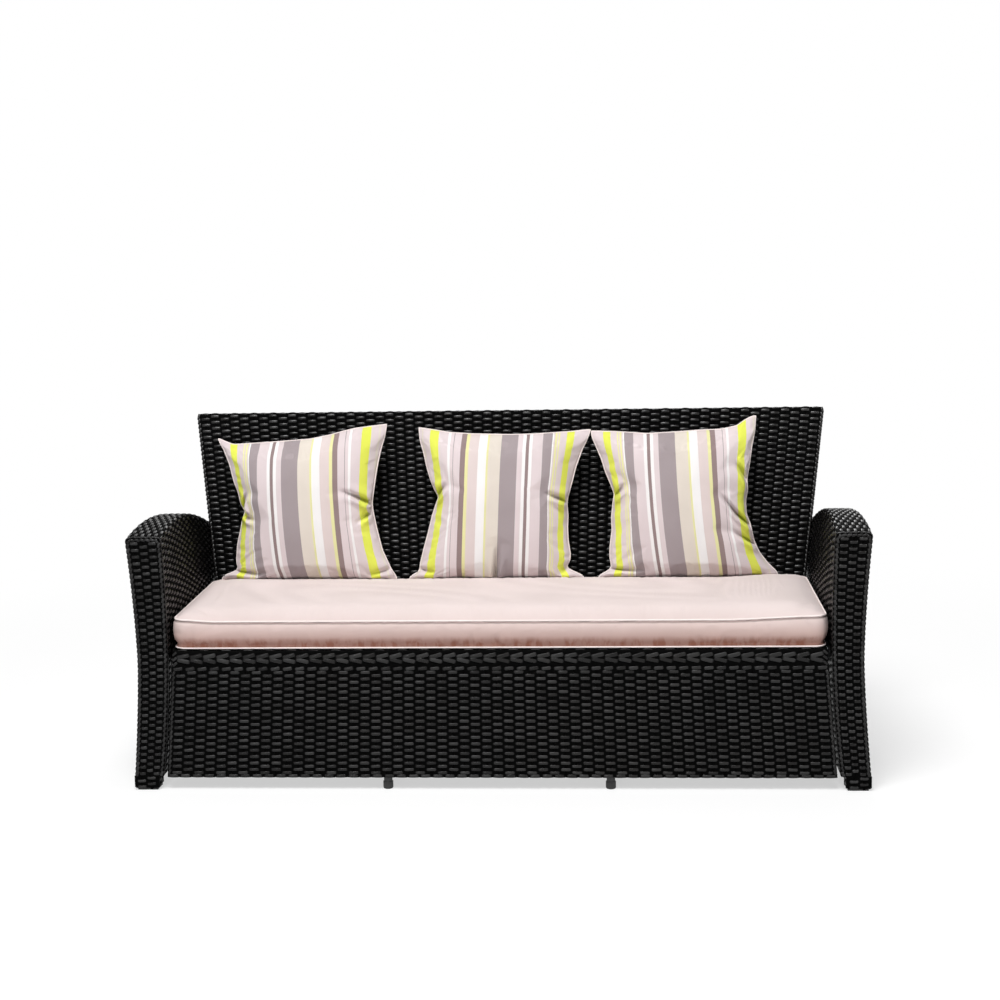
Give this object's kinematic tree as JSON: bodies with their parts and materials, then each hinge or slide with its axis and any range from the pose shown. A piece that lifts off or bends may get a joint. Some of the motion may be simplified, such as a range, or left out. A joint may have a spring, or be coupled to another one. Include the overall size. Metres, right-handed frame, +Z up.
{
  "type": "rattan garden sofa",
  "caption": "Woven synthetic rattan garden sofa with arched arms, a raked flat back, a full front apron, a bench seat cushion and loose striped scatter pillows.",
  "frame": {"origin": "on the floor, under the middle of the whole sofa's footprint", "axes": "+X along the sofa's length towards the sitter's left, +Y from the front to the back, +Z up"},
  "size_m": [1.812, 0.6641, 0.8691],
  "materials": {
    "woven_wicker": "flat black woven strands, satin with soft highlights",
    "frame_steel": "black powder coat",
    "zinc_bolt": "zinc plated",
    "foot_plastic": "black moulded plastic",
    "cushion_fabric": "plain woven cloth, pale pinkish beige, with paler piping",
    "pillow_fabric": "woven cloth with plain upright stripes in greige, grey, white, beige, brown and lime"
  },
  "bodies": {
    "frame": {"arm_left_wicker": "woven_wicker", "arm_left_front_post": "frame_steel", "arm_left_rear_post": "frame_steel", "arm_left_top_rail": "frame_steel", "arm_left_seat_rail": "frame_steel", "arm_left_bottom_rail": "frame_steel", "arm_left_front_foot_wrap": "woven_wicker", "arm_left_rear_foot_wrap": "woven_wicker", "arm_left_front_glide": "foot_plastic", "arm_left_rear_glide": "foot_plastic", "arm_right_wicker": "woven_wicker", "arm_right_front_post": "frame_steel", "arm_right_rear_post": "frame_steel", "arm_right_top_rail": "frame_steel", "arm_right_seat_rail": "frame_steel", "arm_right_bottom_rail": "frame_steel", "arm_right_front_foot_wrap": "woven_wicker", "arm_right_rear_foot_wrap": "woven_wicker", "arm_right_front_glide": "foot_plastic", "arm_right_rear_glide": "foot_plastic", "back_wicker": "woven_wicker", "back_top_rail": "frame_steel", "back_bottom_rail": "frame_steel", "back_stile_left": "frame_steel", "back_stile_right": "frame_steel", "back_stile_centre": "frame_steel", "seat_deck_wicker": "woven_wicker", "seat_front_rail": "frame_steel", "seat_rear_rail": "frame_steel", "seat_side_rail_left": "frame_steel", "seat_side_rail_right": "frame_steel", "seat_bearer_left": "frame_steel", "seat_bearer_right": "frame_steel", "leg_front_left": "frame_steel", "leg_front_right": "frame_steel", "leg_rear_left": "frame_steel", "leg_rear_right": "frame_steel", "leg_cap_front_left": "foot_plastic", "leg_cap_front_right": "foot_plastic", "leg_cap_rear_left": "foot_plastic", "leg_cap_rear_right": "foot_plastic", "apron_wicker": "woven_wicker", "apron_stile_left": "frame_steel", "apron_stile_right": "frame_steel", "apron_rail": "frame_steel", "seat_ledger_left": "frame_steel", "seat_ledger_right": "frame_steel", "ledger_bolt_front_left": "zinc_bolt", "ledger_bolt_rear_left": "zinc_bolt", "back_bolt_upper_left": "zinc_bolt", "back_bolt_lower_left": "zinc_bolt", "ledger_bolt_front_right": "zinc_bolt", "ledger_bolt_rear_right": "zinc_bolt", "back_bolt_upper_right": "zinc_bolt", "back_bolt_lower_right": "zinc_bolt"},
    "seat_cushion": {"seat_cushion": "cushion_fabric"},
    "pillow_left": {"pillow_left": "pillow_fabric"},
    "pillow_centre": {"pillow_centre": "pillow_fabric"},
    "pillow_right": {"pillow_right": "pillow_fabric"}
  },
  "joints": [
    {"name": "seat_cushion_lift", "type": "slide", "parent": "frame", "child": "seat_cushion", "axis": [0, 0, 1], "range_m": [0, 0.5]},
    {"name": "pillow_left_lift", "type": "slide", "parent": "seat_cushion", "child": "pillow_left", "axis": [0, 0, 1], "range_m": [0, 0.45]},
    {"name": "pillow_centre_lift", "type": "slide", "parent": "seat_cushion", "child": "pillow_centre", "axis": [0, 0, 1], "range_m": [0, 0.45]},
    {"name": "pillow_right_lift", "type": "slide", "parent": "seat_cushion", "child": "pillow_right", "axis": [0, 0, 1], "range_m": [0, 0.45]}
  ]
}
